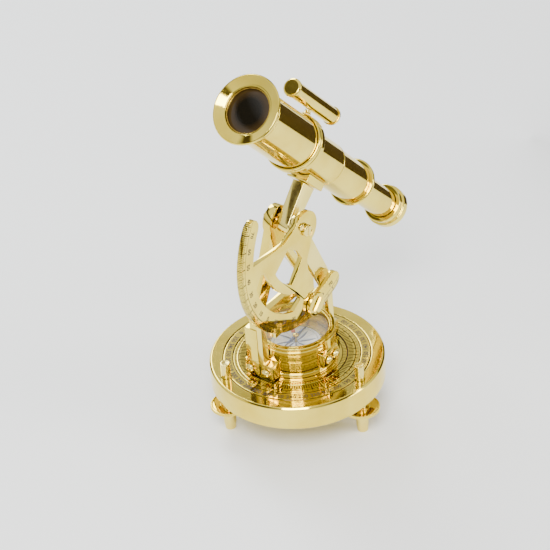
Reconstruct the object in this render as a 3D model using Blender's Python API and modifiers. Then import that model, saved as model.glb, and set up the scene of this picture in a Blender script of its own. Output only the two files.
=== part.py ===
"""Desk theodolite in polished brass: a levelling base, a turning compass bowl, two standards and a
telescope with a graduated arc.

Frame: metres, +Z up. The origin is the centre of the base's underside, on the vertical axis.
The telescope points to -X and up, and the side that the arc is read from faces -Y.
"""
import math

import bmesh
import bpy
from mathutils import Matrix, Vector

MM = 0.001
GAP = 0.3 * MM                      # clearance kept between touching pieces

# ---- levelling base
BASE_RADIUS = 50 * MM
BASE_THICKNESS = 15 * MM
BASE_CHAMFER = 0.8 * MM
NUT_POCKET_RADIUS = 10 * MM
NUT_POCKET_DEPTH = 5.5 * MM
COVER_THICKNESS = 1.2 * MM
BUSH_RADIUS = 6.5 * MM
SPINDLE_RADIUS = 4 * MM
NUT_RADIUS = 8 * MM
NUT_THICKNESS = 2.4 * MM
WASHER_THICKNESS = 0.8 * MM

# ---- levelling screws
SCREW_CIRCLE = 43.7 * MM            # radius of the circle that the screws stand on
SCREW_ANGLES = {"left": 149, "front": 269, "right": 29}
SCREW_RADIUS = 2.75 * MM
SCREW_ABOVE_BASE = 9.8 * MM
SCREW_END_RADIUS = 1.9 * MM
SCREW_END_LENGTH = 8 * MM           # how far the thin end reaches into the foot
WHEEL_RADIUS = 10.5 * MM
WHEEL_THICKNESS = 2 * MM
WHEEL_DROP = 4 * MM                 # from the base's underside to the wheel's top
FOOT_RADIUS = 3.6 * MM
FOOT_TIP_RADIUS = 3.1 * MM
FOOT_LENGTH = 14.7 * MM

# ---- turning flange and compass
FLANGE_RADIUS = 28.4 * MM
FLANGE_THICKNESS = 3.7 * MM
BOWL_RADIUS = 22.7 * MM
BOWL_HEIGHT = 20.4 * MM
BOWL_FLOOR = 3 * MM
BOWL_WALL = 3.4 * MM
BOWL_RIM_WALL = 2 * MM
RIM_DEPTH = 4 * MM                  # from the rim down to the ledge that the glass rests on
GLASS_THICKNESS = 1.5 * MM
BEZEL_WIDTH = 1.6 * MM
DIAL_RING_HEIGHT = 6.4 * MM
CARD_RADIUS = 14.2 * MM
CARD_THICKNESS = 0.5 * MM
CARD_DEPTH = 0.9 * MM               # how deep the card's face lies below the dial ring's top
CARD_LEDGE = 1.5 * MM
PIVOT_RADIUS = 0.8 * MM
PIVOT_FOOT_RADIUS = 3 * MM
PIVOT_FOOT_HEIGHT = 2 * MM
PIVOT_HEIGHT = 8.6 * MM
NEEDLE_LENGTH = 24 * MM
NEEDLE_WIDTH = 3 * MM
NEEDLE_THICKNESS = 0.5 * MM
NEEDLE_CAP_RADIUS = 1.9 * MM
NEEDLE_CAP_HEIGHT = 1.4 * MM

# ---- side lugs and round-headed screws on the bowl
LUG_HALF_WIDTH = 7 * MM
LUG_DEPTH = 2.6 * MM
LUG_CENTRE = -1.7 * MM
LUG_LOW = 5 * MM
LUG_HEIGHT = 9 * MM
TONGUE_HALF_WIDTH = 2.2 * MM
TONGUE_DEPTH = 1.3 * MM
LUG_SCREW_SPACING = 3.3 * MM
HEAD_RADIUS = 2.6 * MM
HEAD_HEIGHT = 2.4 * MM
FOOT_SCREW_HEIGHT = 5.5 * MM        # above the base's top

# ---- standards
TRUNNION_HEIGHT = 91 * MM           # above the base's top
AXLE_RADIUS = 2.2 * MM
SHOULDER_X = 27.5 * MM
SHOULDER_DROP = 52 * MM             # from the trunnion down to the shoulders, where the clamp bears
CROSSBAR_HEIGHT = 7 * MM
LEG_WIDTH = 7.5 * MM
LEG_LEAN = 22                       # degrees that a leg's outer edge leaves the boss at
POST_WIDTH = 4.5 * MM
PAD_LOW = 1 * MM
PAD_HEIGHT = 9.5 * MM
PAD_OUTER = 28.5 * MM
NEAR_FRONT = 7.3 * MM               # distance of the near standard's outer face from the middle plane
NEAR_THICKNESS = 2.5 * MM
NEAR_BOSS_RADIUS = 7 * MM
NEAR_LEFT_POST = (2.0 * MM, 5.2 * MM)
NEAR_LEFT_PAD = (-4.0 * MM, 5.2 * MM)
NEAR_RIGHT_PAD = (-9.5 * MM, -0.5 * MM)
RETURN_HEIGHT = 4.5 * MM
WINDOW_DROP = 8 * MM                # solid stretch of the far standard below its boss
FAR_BACK = 10.5 * MM                # distance of the far standard's outer face from the middle plane
FAR_THICKNESS = 5 * MM
FAR_BOSS_RADIUS = 9 * MM
FAR_POST = (5.8 * MM, 13.8 * MM)
FAR_PAD = (5.5 * MM, 15.0 * MM)

# ---- graduated arc, drawn about the trunnion with its stem direction downwards
ARC_RADIUS = 60 * MM
ARC_WIDTH = 11.4 * MM
ARC_SPAN = 73                       # degrees each side of the stem
ARC_BACK = 9.2 * MM                # distance of the arc's rear face from the middle plane
ARC_THICKNESS = 3 * MM
ARC_HUB_RADIUS = 11 * MM
SPOKE_ANGLE = 48                    # degrees from the stem to a spoke's outer edge
SPOKE_START = 20 * MM
BRACE_RADIUS = 37.4 * MM
BRACE_WIDTH = 5.6 * MM
WINDOW_PEAK = 12.5 * MM
WINDOW_EAVES = (9 * MM, 14.5 * MM)
WINDOW_HALF_WIDTH = 11 * MM
LOWER_WINDOW_ANGLE = 36
LOWER_WINDOW_TIP = 42.5 * MM
LOWER_WINDOW_RIM_SHARE = 0.8        # share of the angle where the rim's edge begins
LOWER_WINDOW_BRACE_SHARE = 0.85     # and where the brace's edge begins
HUB_DIP = 10                        # degrees that the hub's round reaches below its middle
BOSS_RING_RADIUS = 8.5 * MM
ARC_SCREW_OFFSET = 5.6 * MM
ARC_SCREW_HEAD = 2.0 * MM
ARC_SCREW_SHANK = 1.0 * MM
HUB_SCREW_RADIUS = 3.4 * MM
HUB_SCREW_HEIGHT = 1.8 * MM
TRUNNION_NUT_RADIUS = 5.2 * MM
TRUNNION_NUT_THICKNESS = 2.6 * MM

# ---- clamp screw in the corner between rim and spoke
CLAMP_RADIUS = 52 * MM
CLAMP_ANGLE = 51
CLAMP_DISC_RADIUS = 7 * MM
CLAMP_DISC_THICKNESS = 2.4 * MM
CLAMP_SHANK_RADIUS = 1.7 * MM
CLAMP_BAR_LENGTH = 9 * MM
CLAMP_BAR_WIDTH = 2.2 * MM
CLAMP_BAR_HEIGHT = 1.8 * MM

# ---- telescope
PITCH = 48                          # degrees above the horizontal at rest
AXIS_HEIGHT = 40 * MM               # telescope axis above the trunnion
STEM_HALF_DEPTH = 4.6 * MM
STEM_TOP_HALF_DEPTH = 6.5 * MM
STEM_HALF_WIDTH = 3.7 * MM
STEM_BELOW = 5.5 * MM
SADDLE_HALF_LENGTH = 9.5 * MM
SADDLE_HALF_WIDTH = 7 * MM
SADDLE_HEIGHT = 5.5 * MM
SADDLE_RISE = 2.6 * MM              # how far the saddle reaches up past the sleeve's underside
SLEEVE_WALL = 0.8 * MM
SLEEVE_BACK = 12.5 * MM
RING_FRONT = 30 * MM
RING_BACK = 23 * MM
RING_HEIGHT = 1.5 * MM              # how far the main ring stands above the barrel
REAR_TUBE_BACK = 48 * MM
TUBE_WALL = 1.5 * MM
BARREL_RADIUS = 15.5 * MM
BARREL_WALL = 1.6 * MM
BELL_FRONT = 87 * MM
BELL_LENGTH = 9.3 * MM
BELL_FLARE = 4.5 * MM               # how far the bell's mouth stands out past the barrel
BELL_LIP_DEPTH = 2 * MM
BELL_EDGE = 0.8 * MM
FLARE_STEPS = 8
FLARE_POWER = 2.2                   # how late the bell opens out
BELL_WALL = 0.3 * MM                # between the barrel's bore and the bell's
BELL_SPIGOT = 8 * MM
LENS_SEAT_WIDTH = 1.1 * MM
LENS_DEPTH = 7.3 * MM               # from the bell's front to the lens seat
LENS_THICKNESS = 3.2 * MM
LENS_RING_THICKNESS = 1.5 * MM
FLANGE_RING_RADIUS = 13.9 * MM
FLANGE_RING_WIDTH = 2.4 * MM
DRAW_RADIUS = 8.6 * MM
DRAW_WALL = 1.2 * MM
DRAW_LENGTH = 77 * MM
DRAW_STOP_WIDTH = 4 * MM
DRAW_STOP_WALL = 1 * MM
EYEPIECE_FRONT = 91 * MM
EYEPIECE_RADIUS = 12.2 * MM
EYEPIECE_LENGTH = 10 * MM
EYEPIECE_EDGE = 0.8 * MM
EYEPIECE_GROOVE = 1.2 * MM
EYE_HOLE_RADIUS = 4.6 * MM
EYE_LENS_THICKNESS = 2 * MM
EYE_END_WALL = 2.6 * MM

# ---- level on top of the telescope
LEVEL_GAP = 2.65 * MM               # between the main ring and the level tube
LEVEL_FRONT = 50 * MM
LEVEL_LENGTH = 48 * MM
LEVEL_RADIUS = 4.85 * MM
LEVEL_WALL = 0.9 * MM
LEVEL_CAP_RADIUS = 5.4 * MM
LEVEL_CAP_WIDTH = 2 * MM
LEVEL_SLOT_LENGTH = 26 * MM
LEVEL_SLOT_WIDTH = 3.6 * MM
LEVEL_POST_RADIUS = 2.4 * MM

SEGMENTS_LARGE = 48
SEGMENTS_MEDIUM = 28
SEGMENTS_SMALL = 12

# ---- heights that follow from the sizes above
BASE_TOP = BASE_THICKNESS
FLANGE_BOTTOM = BASE_TOP - FLANGE_THICKNESS
RECESS_FLOOR = FLANGE_BOTTOM - GAP
BOWL_BOTTOM = BASE_TOP + GAP
BOWL_TOP = BOWL_BOTTOM + BOWL_HEIGHT
BOWL_INSIDE = BOWL_RADIUS - BOWL_WALL
RIM_INSIDE = BOWL_RADIUS - BOWL_RIM_WALL
CAVITY_FLOOR = BOWL_BOTTOM + BOWL_FLOOR
LEDGE_TOP = BOWL_TOP - RIM_DEPTH
GLASS_BOTTOM = LEDGE_TOP + GAP
DIAL_BOTTOM = CAVITY_FLOOR + GAP
DIAL_TOP = DIAL_BOTTOM + DIAL_RING_HEIGHT
PIVOT_BOTTOM = CAVITY_FLOOR + GAP
NEEDLE_BOTTOM = PIVOT_BOTTOM + PIVOT_HEIGHT + GAP
WHEEL_TOP = -WHEEL_DROP
WHEEL_BOTTOM = WHEEL_TOP - WHEEL_THICKNESS
FOOT_TOP = WHEEL_BOTTOM - GAP
FOOT_BOTTOM = FOOT_TOP - FOOT_LENGTH
TRUNNION_Z = BASE_TOP + TRUNNION_HEIGHT
SHOULDER_HIGH = TRUNNION_HEIGHT - SHOULDER_DROP
CROSSBAR_LOW = SHOULDER_HIGH - CROSSBAR_HEIGHT
RETURN_LOW = SHOULDER_HIGH - RETURN_HEIGHT
REAR_TUBE_BORE = DRAW_RADIUS + GAP + DRAW_STOP_WALL + GAP
REAR_TUBE_RADIUS = REAR_TUBE_BORE + TUBE_WALL
SLEEVE_RADIUS = REAR_TUBE_RADIUS + GAP + SLEEVE_WALL
BELL_BACK = BELL_FRONT - BELL_LENGTH
RING_RADIUS = BARREL_RADIUS + RING_HEIGHT
BELL_RADIUS = BARREL_RADIUS + BELL_FLARE
BELL_BORE = BARREL_RADIUS - BARREL_WALL - GAP - BELL_WALL
LEVEL_HEIGHT = RING_RADIUS + LEVEL_GAP + LEVEL_RADIUS

BRASS = ("polished_brass", (0.83, 0.66, 0.24), 0.14, 1.0)
PALE_BRASS = ("pale_brass", (0.88, 0.78, 0.42), 0.18, 1.0)
DARK_BRASS = ("turned_brass", (0.72, 0.52, 0.16), 0.2, 1.0)
GLASS = ("clear_glass", (0.92, 0.95, 0.97), 0.03, 0.0)
LENS = ("dark_lens", (0.05, 0.04, 0.03), 0.05, 0.0)
PAPER = ("dial_card", (0.86, 0.88, 0.92), 0.6, 0.0)
BLUE_STEEL = ("blued_steel", (0.05, 0.07, 0.16), 0.25, 1.0)


def clear_scene():
    """Remove what a new Blender file holds."""
    for item in list(bpy.data.objects):
        bpy.data.objects.remove(item, do_unlink=True)


clear_scene()
PARTS = bpy.data.collections.new("desk_theodolite")
CUTTERS = bpy.data.collections.new("cutters")
bpy.context.scene.collection.children.link(PARTS)
bpy.context.scene.collection.children.link(CUTTERS)


def material(finish):
    """Principled material from a (name, colour, roughness, metallic) finish."""
    name, colour, roughness, metallic = finish
    made = bpy.data.materials.get(name)
    if made is None:
        made = bpy.data.materials.new(name)
        made.use_nodes = True
        shader = made.node_tree.nodes["Principled BSDF"]
        shader.inputs["Base Color"].default_value = (*colour, 1.0)
        shader.inputs["Roughness"].default_value = roughness
        shader.inputs["Metallic"].default_value = metallic
        made.diffuse_color = (*colour, 1.0)
    return made


def axis_empty(name, place, parent=None):
    """Empty on a joint's axis, with its Z along the axis where the joint needs it."""
    empty = bpy.data.objects.new(name, None)
    empty.empty_display_size = 10 * MM
    PARTS.objects.link(empty)
    empty.parent = parent
    empty.matrix_world = place
    bpy.context.view_layer.update()
    return empty


def add(name, mesh, finish, parent, place=None):
    """Link a mesh as a part under its parent empty."""
    part = bpy.data.objects.new(name, mesh)
    PARTS.objects.link(part)
    part.parent = parent
    part.matrix_local = place if place is not None else Matrix()
    bpy.context.view_layer.update()
    mesh.materials.clear()
    mesh.materials.append(material(finish))
    return part


def smooth(part, angle=35):
    """Shade round walls smooth and keep edges sharp."""
    part.data.shade_smooth()
    part.data.set_sharp_from_angle(angle=math.radians(angle))


def profile_mesh(name, points, closed):
    """Wire mesh of a profile in the XZ plane, for the Screw modifier."""
    mesh = bpy.data.meshes.new(name)
    vertices = [(x, 0.0, z) for x, z in points]
    edges = [(i, i + 1) for i in range(len(points) - 1)]
    if closed:
        edges.append((len(points) - 1, 0))
    mesh.from_pydata(vertices, edges, [])
    return mesh


def turned(name, points, finish, parent, place=None, closed=False, segments=SEGMENTS_MEDIUM):
    """Turn a profile about its local Z. The profile runs down the outer side."""
    part = add(name, profile_mesh(name, points, closed), finish, parent, place)
    screw = part.modifiers.new("turn", "SCREW")
    screw.axis = "Z"
    screw.angle = math.tau
    screw.steps = segments
    screw.render_steps = segments
    screw.use_merge_vertices = True
    screw.merge_threshold = 0.00001
    screw.use_smooth_shade = True
    return part


def disc_points(radius, low, high):
    """Profile of a solid disc or rod."""
    return [(0.0, high), (radius, high), (radius, low), (0.0, low)]


def ring_points(inner, outer, low, high):
    """Closed profile of a plain ring or tube."""
    return [(inner, high), (outer, high), (outer, low), (inner, low)]


def arc_points(radius, start, end, count, centre=(0.0, 0.0)):
    """Points on an arc, angles in degrees from +X."""
    points = []
    for i in range(count + 1):
        angle = math.radians(start + (end - start) * i / count)
        points.append((centre[0] + radius * math.cos(angle), centre[1] + radius * math.sin(angle)))
    return points


def outline_mesh(name, loops, thickness):
    """Flat plate from closed outlines in XY, centred on z = 0; inner loops are openings."""
    curve = bpy.data.curves.new(name + "_outline", "CURVE")
    curve.dimensions = "2D"
    curve.fill_mode = "BOTH"
    curve.extrude = thickness / 2
    for loop in loops:
        spline = curve.splines.new("POLY")
        spline.points.add(len(loop) - 1)
        for point, (x, y) in zip(spline.points, loop):
            point.co = (x, y, 0.0, 1.0)
        spline.use_cyclic_u = True
    holder = bpy.data.objects.new(name + "_outline", curve)
    PARTS.objects.link(holder)
    bpy.context.view_layer.update()
    evaluated = holder.evaluated_get(bpy.context.evaluated_depsgraph_get())
    mesh = bpy.data.meshes.new_from_object(evaluated)
    bpy.data.objects.remove(holder, do_unlink=True)
    mesh.name = name
    shape = bmesh.new()
    shape.from_mesh(mesh)
    bmesh.ops.remove_doubles(shape, verts=shape.verts, dist=0.000002)
    bmesh.ops.recalc_face_normals(shape, faces=shape.faces)
    shape.to_mesh(mesh)
    shape.free()
    return mesh


def box_mesh(name, low, high):
    """Box between two corners."""
    mesh = bpy.data.meshes.new(name)
    shape = bmesh.new()
    bmesh.ops.create_cube(shape, size=1.0)
    low, high = Vector(low), Vector(high)
    size = high - low
    bmesh.ops.scale(shape, vec=size, verts=shape.verts)
    bmesh.ops.translate(shape, vec=(low + high) / 2, verts=shape.verts)
    shape.to_mesh(mesh)
    shape.free()
    return mesh


def cylinder_mesh(name, radius, length, segments=SEGMENTS_MEDIUM):
    """Cylinder along Z, centred on the origin."""
    mesh = bpy.data.meshes.new(name)
    shape = bmesh.new()
    bmesh.ops.create_cone(shape, cap_ends=True, segments=segments, radius1=radius,
                          radius2=radius, depth=length)
    shape.to_mesh(mesh)
    shape.free()
    return mesh


def cutter(name, mesh, place):
    """Object that only cuts: not rendered, drawn as a wire."""
    tool = bpy.data.objects.new(name, mesh)
    CUTTERS.objects.link(tool)
    tool.matrix_world = place
    tool.hide_render = True
    tool.display_type = "WIRE"
    return tool


def cut(part, tool):
    """Boolean difference that stays live on the part."""
    step = part.modifiers.new(tool.name, "BOOLEAN")
    step.operation = "DIFFERENCE"
    step.solver = "EXACT"
    step.object = tool


def turn_x(degrees):
    return Matrix.Rotation(math.radians(degrees), 4, "X")


def turn_y(degrees):
    return Matrix.Rotation(math.radians(degrees), 4, "Y")


def shift(x, y, z):
    return Matrix.Translation((x, y, z))


def join(part, mesh, place=None):
    """Boolean union with a helper solid, kept live on the part."""
    tool = cutter(part.name + "_addition", mesh, part.matrix_world @ (place or Matrix()))
    step = part.modifiers.new(tool.name, "BOOLEAN")
    step.operation = "UNION"
    step.solver = "EXACT"
    step.object = tool


ROOT = axis_empty("base_frame", Matrix())
AZIMUTH = axis_empty("azimuth_axis", Matrix(), ROOT)
NEEDLE_AXIS = axis_empty("needle_axis", shift(0, 0, NEEDLE_BOTTOM), AZIMUTH)

# The telescope's own frame: X up from the trunnion to the telescope axis, Y along the trunnion,
# Z along the telescope towards the objective.
TELESCOPE_FRAME = shift(0, 0, TRUNNION_Z) @ turn_y(PITCH - 90)
TILT = axis_empty("tilt_axis", TELESCOPE_FRAME, AZIMUTH)
FOCUS = axis_empty("focus_axis", TELESCOPE_FRAME @ shift(AXIS_HEIGHT, 0, 0), TILT)
ON_AXIS = shift(AXIS_HEIGHT, 0, 0)

# Outlines of the arc and the stem are drawn as (along the telescope, up from the trunnion).
SIDE_VIEW = Matrix(((0, 1, 0, 0), (0, 0, 1, 0), (1, 0, 0, 0), (0, 0, 0, 1)))
# Outlines of the standards are drawn as (X, Z) of the whole object.
FRONT_VIEW = Matrix(((1, 0, 0, 0), (0, 0, -1, 0), (0, 1, 0, 0), (0, 0, 0, 1)))


def around(radius, angle, height=0.0):
    """Place at an angle round the vertical axis."""
    turn = math.radians(angle)
    return shift(radius * math.cos(turn), radius * math.sin(turn), height)


def make_base():
    """Dish with a recess for the turning flange, a bored centre and three screw holes."""
    recess = FLANGE_RADIUS + GAP
    bore = BUSH_RADIUS + GAP
    base = turned("base_dish", [
        (recess, BASE_TOP),
        (BASE_RADIUS - BASE_CHAMFER, BASE_TOP),
        (BASE_RADIUS, BASE_TOP - BASE_CHAMFER),
        (BASE_RADIUS, BASE_CHAMFER),
        (BASE_RADIUS - BASE_CHAMFER, 0.0),
        (NUT_POCKET_RADIUS, 0.0),
        (NUT_POCKET_RADIUS, NUT_POCKET_DEPTH),
        (bore, NUT_POCKET_DEPTH),
        (bore, RECESS_FLOOR),
        (recess, RECESS_FLOOR),
    ], BRASS, ROOT, closed=True, segments=SEGMENTS_LARGE)
    hole = cylinder_mesh("screw_hole", SCREW_RADIUS + GAP, 3 * BASE_THICKNESS, SEGMENTS_SMALL)
    for name, angle in SCREW_ANGLES.items():
        cut(base, cutter("screw_hole_" + name, hole, around(SCREW_CIRCLE, angle)))
    turned("spindle_bush", ring_points(SPINDLE_RADIUS + GAP, BUSH_RADIUS, NUT_POCKET_DEPTH, RECESS_FLOOR),
           DARK_BRASS, ROOT, closed=True)
    turned("spindle_cover", disc_points(NUT_POCKET_RADIUS - GAP, 0.0, COVER_THICKNESS), BRASS, ROOT)


def make_spindle():
    """Spindle below the turning flange, with the washer and hexagon nut that hold it."""
    washer_top = NUT_POCKET_DEPTH - GAP
    nut_top = washer_top - WASHER_THICKNESS - GAP
    hole = SPINDLE_RADIUS + GAP
    turned("azimuth_spindle",
           disc_points(SPINDLE_RADIUS, COVER_THICKNESS + GAP, FLANGE_BOTTOM - GAP), DARK_BRASS, AZIMUTH)
    turned("spindle_washer", ring_points(hole, NUT_RADIUS, washer_top - WASHER_THICKNESS, washer_top),
           PALE_BRASS, AZIMUTH, closed=True)
    nut = add("spindle_nut", cylinder_mesh("spindle_nut", NUT_RADIUS, NUT_THICKNESS, 6), BRASS, AZIMUTH,
              shift(0, 0, nut_top - NUT_THICKNESS / 2))
    cut(nut, cutter("nut_bore", cylinder_mesh("nut_bore", hole, 3 * NUT_THICKNESS, SEGMENTS_SMALL),
                    nut.matrix_world))


def make_levelling_screws():
    """Three screws through the base, each with its thumb wheel, turning in a foot that slides."""
    end_low = FOOT_TOP - SCREW_END_LENGTH
    for name, angle in SCREW_ANGLES.items():
        travel = axis_empty("foot_axis_" + name, around(SCREW_CIRCLE, angle), ROOT)
        turned("levelling_screw_" + name, [
            (0.0, BASE_TOP + SCREW_ABOVE_BASE),
            (SCREW_RADIUS - GAP, BASE_TOP + SCREW_ABOVE_BASE),
            (SCREW_RADIUS, BASE_TOP + SCREW_ABOVE_BASE - GAP),
            (SCREW_RADIUS, WHEEL_BOTTOM),
            (SCREW_END_RADIUS, WHEEL_BOTTOM),
            (SCREW_END_RADIUS, end_low),
            (0.0, end_low),
        ], PALE_BRASS, travel, segments=SEGMENTS_SMALL)
        turned("thumb_wheel_" + name, ring_points(SCREW_RADIUS + GAP, WHEEL_RADIUS, WHEEL_BOTTOM, WHEEL_TOP),
               BRASS, travel, closed=True)
        socket = SCREW_END_RADIUS + GAP
        turned("levelling_foot_" + name, [
            (0.0, end_low - GAP),
            (socket, end_low - GAP),
            (socket, FOOT_TOP),
            (FOOT_RADIUS, FOOT_TOP),
            (FOOT_RADIUS, FOOT_BOTTOM + FOOT_LENGTH / 4),
            (FOOT_TIP_RADIUS, FOOT_BOTTOM),
            (0.0, FOOT_BOTTOM),
        ], PALE_BRASS, travel, segments=SEGMENTS_SMALL)


def make_compass():
    """Turning flange with the bowl on it, and the compass inside the bowl."""
    turned("turning_flange", disc_points(FLANGE_RADIUS, FLANGE_BOTTOM, BASE_TOP), BRASS, AZIMUTH,
           segments=SEGMENTS_LARGE)
    turned("compass_bowl", [
        (0.0, CAVITY_FLOOR),
        (BOWL_INSIDE, CAVITY_FLOOR),
        (BOWL_INSIDE, LEDGE_TOP),
        (RIM_INSIDE, LEDGE_TOP),
        (RIM_INSIDE, BOWL_TOP),
        (BOWL_RADIUS, BOWL_TOP),
        (BOWL_RADIUS, BOWL_BOTTOM),
        (0.0, BOWL_BOTTOM),
    ], BRASS, AZIMUTH, segments=SEGMENTS_LARGE)
    card_top = DIAL_TOP - CARD_DEPTH
    card_low = card_top - CARD_THICKNESS
    turned("dial_ring", [
        (CARD_RADIUS + GAP, DIAL_TOP),
        (BOWL_INSIDE - GAP, DIAL_TOP),
        (BOWL_INSIDE - GAP, DIAL_BOTTOM),
        (CARD_RADIUS - CARD_LEDGE, DIAL_BOTTOM),
        (CARD_RADIUS - CARD_LEDGE, card_low - GAP),
        (CARD_RADIUS + GAP, card_low - GAP),
    ], BRASS, AZIMUTH, closed=True)
    turned("compass_card", ring_points(PIVOT_RADIUS + GAP, CARD_RADIUS, card_low, card_top), PAPER, AZIMUTH,
           closed=True)
    turned("needle_pivot", [
        (0.0, PIVOT_BOTTOM + PIVOT_HEIGHT),
        (PIVOT_RADIUS, PIVOT_BOTTOM + PIVOT_HEIGHT - PIVOT_RADIUS),
        (PIVOT_RADIUS, PIVOT_BOTTOM + PIVOT_FOOT_HEIGHT),
        (PIVOT_FOOT_RADIUS, PIVOT_BOTTOM + PIVOT_FOOT_HEIGHT),
        (PIVOT_FOOT_RADIUS, PIVOT_BOTTOM),
        (0.0, PIVOT_BOTTOM),
    ], DARK_BRASS, AZIMUTH, segments=SEGMENTS_SMALL)
    glass_top = GLASS_BOTTOM + GLASS_THICKNESS
    rim_fit = RIM_INSIDE - GAP
    turned("compass_glass", disc_points(rim_fit, GLASS_BOTTOM, glass_top), GLASS, AZIMUTH)
    turned("glass_bezel", ring_points(rim_fit - BEZEL_WIDTH, rim_fit, glass_top + GAP, BOWL_TOP), BRASS,
           AZIMUTH, closed=True)


def make_needle():
    """Lozenge needle with the cap that rides on the pivot."""
    half_length, half_width = NEEDLE_LENGTH / 2, NEEDLE_WIDTH / 2
    lozenge = [(-half_length, 0.0), (0.0, -half_width), (half_length, 0.0), (0.0, half_width)]
    add("compass_needle", outline_mesh("compass_needle", [lozenge], NEEDLE_THICKNESS), BLUE_STEEL,
        NEEDLE_AXIS, shift(0, 0, NEEDLE_THICKNESS / 2))
    low = NEEDLE_THICKNESS + GAP
    dome = arc_points(1.0, 90, 0, 4)
    turned("needle_cap",
           [(NEEDLE_CAP_RADIUS * x, low + NEEDLE_CAP_HEIGHT * y) for x, y in dome] + [(0.0, low)],
           BRASS, NEEDLE_AXIS, segments=SEGMENTS_SMALL)


def leg_outline(boss_radius, crossbar_low, left_low, right_low):
    """Outer edge of a standard in (X, Z): a boss, legs out to the shoulders, posts going down."""
    top = TRUNNION_Z
    boss = [(x, top + z) for x, z in arc_points(boss_radius, 180 + LEG_LEAN, -LEG_LEAN, 12)]
    shoulder = BASE_TOP + SHOULDER_HIGH
    corner = POST_WIDTH / 2
    inner = SHOULDER_X - POST_WIDTH
    bar = BASE_TOP + crossbar_low
    outline = boss + [
        (SHOULDER_X, shoulder + corner),
        (SHOULDER_X + GAP, shoulder),
        (SHOULDER_X, right_low),
        (inner, right_low),
        (inner, bar),
        (-inner, bar),
        (-inner, left_low),
        (-SHOULDER_X, left_low),
        (-SHOULDER_X - GAP, shoulder),
        (-SHOULDER_X, shoulder + corner),
    ]
    return [point for point, before in zip(outline, outline[-1:] + outline) if point != before]


def leg_window(boss_radius, bar_top):
    """Opening between the far standard's legs and its crossbar, in (X, Z)."""
    top = TRUNNION_Z - boss_radius - WINDOW_DROP
    wide = SHOULDER_X - LEG_WIDTH
    return [(0.0, top), (-wide, bar_top), (wide, bar_top)]


def strap_outline(boss_radius, bar_low, bar_top, right_low):
    """Edge of the near standard in (X, Z): a boss, one strap to the right shoulder, and a crossbar."""
    boss = [(x, TRUNNION_Z + z) for x, z in arc_points(boss_radius, 180 + LEG_LEAN, -LEG_LEAN, 12)]
    corner = POST_WIDTH / 2
    inner = SHOULDER_X - POST_WIDTH
    return boss + [
        (SHOULDER_X, bar_top + corner),
        (SHOULDER_X + GAP, bar_top),
        (SHOULDER_X, right_low),
        (inner, right_low),
        (inner, bar_low),
        (-SHOULDER_X, bar_low),
        (-SHOULDER_X - GAP, bar_top - GAP),
        (-SHOULDER_X, bar_top),
        (SHOULDER_X - LEG_WIDTH - corner, bar_top),
    ]


def foot_pad(side, span):
    """Box of a foot pad that is screwed to the bowl."""
    low, high = BASE_TOP + PAD_LOW, BASE_TOP + PAD_LOW + PAD_HEIGHT
    inner = BOWL_RADIUS - BOWL_RIM_WALL - POST_WIDTH
    x_range = sorted((side * inner, side * PAD_OUTER))
    return box_mesh("foot_pad", (x_range[0], span[0], low), (x_range[1], span[1], high))


def make_standards():
    """Two A-shaped standards whose legs end in pads round the bowl."""
    pad_top = BASE_TOP + PAD_LOW + PAD_HEIGHT
    bar_top = BASE_TOP + SHOULDER_HIGH
    bar_low = BASE_TOP + CROSSBAR_LOW
    bowl_space = cylinder_mesh("bowl_space", BOWL_RADIUS + GAP, 4 * BOWL_HEIGHT, SEGMENTS_LARGE)
    bore = cylinder_mesh("trunnion_bore", AXLE_RADIUS + GAP, 4 * FAR_BACK, SEGMENTS_SMALL)

    near_outline = strap_outline(NEAR_BOSS_RADIUS, bar_low, bar_top, pad_top - GAP)
    near = add("near_standard", outline_mesh("near_standard", [near_outline], NEAR_THICKNESS),
               PALE_BRASS, AZIMUTH, shift(0, -NEAR_FRONT + NEAR_THICKNESS / 2, 0) @ FRONT_VIEW)
    flat = near.matrix_world.inverted()
    outer, inner = SHOULDER_X + GAP, SHOULDER_X - POST_WIDTH
    join(near, box_mesh("leg_return", (-outer, -NEAR_FRONT + GAP, BASE_TOP + RETURN_LOW),
                        (-inner, NEAR_LEFT_POST[1], bar_top)), flat)
    join(near, box_mesh("left_post", (-PAD_OUTER, NEAR_LEFT_POST[0], pad_top - GAP),
                        (-inner - GAP, NEAR_LEFT_POST[1] - GAP / 2, bar_top - GAP)), flat)
    join(near, foot_pad(-1, NEAR_LEFT_PAD), flat)
    join(near, foot_pad(1, NEAR_RIGHT_PAD), flat)

    far_outline = leg_outline(FAR_BOSS_RADIUS, CROSSBAR_LOW, pad_top - GAP, pad_top - GAP)
    far = add("far_standard",
              outline_mesh("far_standard", [far_outline, leg_window(FAR_BOSS_RADIUS, bar_top)],
                           FAR_THICKNESS),
              BRASS, AZIMUTH, shift(0, FAR_BACK - FAR_THICKNESS / 2, 0) @ FRONT_VIEW)
    flat = far.matrix_world.inverted()
    for side in (-1, 1):
        x_range = sorted((side * (inner + GAP), side * (PAD_OUTER - GAP)))
        join(far, box_mesh("post", (x_range[0], FAR_POST[0], pad_top - 2 * GAP),
                           (x_range[1], FAR_POST[1], bar_low + GAP)), flat)
        join(far, foot_pad(side, FAR_PAD), flat)
    for part in (near, far):
        cut(part, cutter(part.name + "_bowl_space", bowl_space, shift(0, 0, BOWL_TOP - 2 * BOWL_HEIGHT)))
        cut(part, cutter(part.name + "_bore", bore, shift(0, 0, TRUNNION_Z) @ turn_x(90)))


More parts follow.
